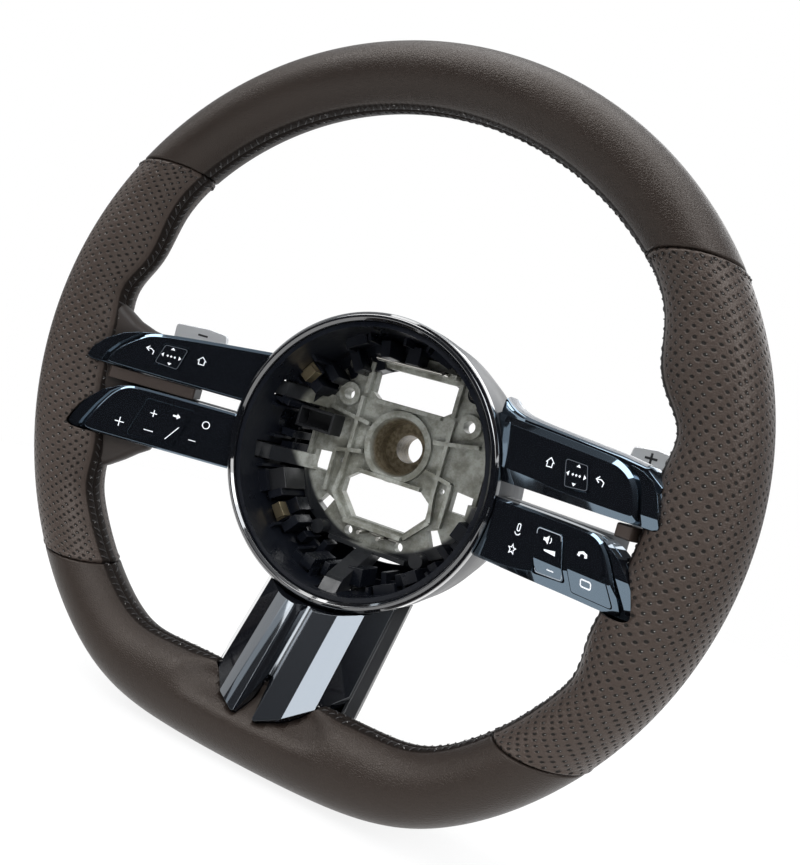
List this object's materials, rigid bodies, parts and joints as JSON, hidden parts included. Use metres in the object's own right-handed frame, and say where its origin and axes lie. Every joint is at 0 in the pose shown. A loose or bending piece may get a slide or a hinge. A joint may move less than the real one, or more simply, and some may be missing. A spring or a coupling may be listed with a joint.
{
  "type": "car steering wheel",
  "caption": "Flat-bottomed leather steering wheel without its airbag: twin-blade side spokes with switches, shift paddles, split lower spoke and an open hub with a cast armature.",
  "frame": {"origin": "middle of the column bore, on its axis", "axes": "+Y along the column axis away from the driver, +Z towards twelve o'clock on the rim, +X to the driver's right"},
  "size_m": [0.372, 0.1257, 0.3508],
  "materials": {
    "leather": "dark brown wheel leather, smooth at top and bottom and perforated at the sides",
    "foam": "moulded foam under the leather",
    "cast": "raw die casting, matt and mottled",
    "gloss_black": "piano black",
    "matte_black": "fine grained black moulding",
    "satin_grey": "satin dark grey paint",
    "silver": "satin silver",
    "steel": "plain spring wire and screws",
    "clip_metal": "plated contact spring",
    "board": "green circuit board"
  },
  "bodies": {
    "wheel": {"armature": "cast", "rim_foam": "foam", "leather_top": "leather", "leather_left": "leather", "leather_right": "leather", "leather_bottom": "leather", "slot_infill_left": "leather", "slot_infill_right": "leather", "hub_ring": "gloss_black", "hub_housing": "matte_black", "rear_cover": "satin_grey", "upper_back_left": "satin_grey", "upper_back_right": "satin_grey", "lower_back_left": "satin_grey", "lower_back_right": "satin_grey", "upper_frame_left": "gloss_black", "upper_frame_right": "gloss_black", "lower_frame_left": "gloss_black", "lower_frame_right": "gloss_black", "upper_panel_left": "gloss_black", "upper_panel_right": "gloss_black", "lower_panel_left": "gloss_black", "lower_panel_right": "gloss_black", "switch_boards_left": "board", "switch_boards_right": "board", "paddle_base_left": "matte_black", "paddle_base_right": "matte_black", "paddle_pin_left": "steel", "paddle_pin_right": "steel", "foot_trim": "gloss_black", "foot_shell": "matte_black", "airbag_wire_upper": "steel", "airbag_wire_lower": "steel", "contact_clip_upper": "clip_metal", "contact_clip_lower": "clip_metal", "harness_connector": "matte_black", "control_module": "matte_black", "armature_screws": "steel"},
    "touch_pad_left": {"touch_pad_left": "gloss_black"},
    "touch_pad_right": {"touch_pad_right": "gloss_black"},
    "call_key": {"call_key": "gloss_black"},
    "hang_up_key": {"hang_up_key": "gloss_black"},
    "cruise_key": {"cruise_key": "gloss_black"},
    "volume_rocker": {"volume_rocker": "gloss_black"},
    "paddle_left": {"paddle_left": "silver"},
    "paddle_right": {"paddle_right": "silver"}
  },
  "joints": [
    {"name": "touch_pad_left_press", "type": "slide", "parent": "wheel", "child": "touch_pad_left", "axis": [-0.4493, 0.8934, 0], "range_m": [0, 0.0008], "stiffness_N_per_m": 1500},
    {"name": "touch_pad_right_press", "type": "slide", "parent": "wheel", "child": "touch_pad_right", "axis": [0.4493, 0.8934, 0], "range_m": [0, 0.0008], "stiffness_N_per_m": 1500},
    {"name": "call_key_press", "type": "slide", "parent": "wheel", "child": "call_key", "axis": [0.4493, 0.8934, 0], "range_m": [0, 0.0008], "stiffness_N_per_m": 1500},
    {"name": "hang_up_key_press", "type": "slide", "parent": "wheel", "child": "hang_up_key", "axis": [0.4493, 0.8934, 0], "range_m": [0, 0.0008], "stiffness_N_per_m": 1500},
    {"name": "cruise_key_press", "type": "slide", "parent": "wheel", "child": "cruise_key", "axis": [-0.4493, 0.8934, 0], "range_m": [0, 0.0008], "stiffness_N_per_m": 1500},
    {"name": "volume_rocker_tip", "type": "hinge", "parent": "wheel", "child": "volume_rocker", "pos_m": [0.11206, -0.08427, -0.022], "axis": [0.8934, -0.4493, 0], "range_deg": [-2.5, 2.5], "stiffness_Nm_per_rad": 0.3},
    {"name": "paddle_left_pull", "type": "hinge", "parent": "wheel", "child": "paddle_left", "pos_m": [-0.08653, -0.04378, 0.016], "axis": [0, 0, 1], "range_deg": [0, 5], "stiffness_Nm_per_rad": 1.8},
    {"name": "paddle_right_pull", "type": "hinge", "parent": "wheel", "child": "paddle_right", "pos_m": [0.08653, -0.04378, 0.016], "axis": [0, 0, -1], "range_deg": [0, 5], "stiffness_Nm_per_rad": 1.8}
  ]
}
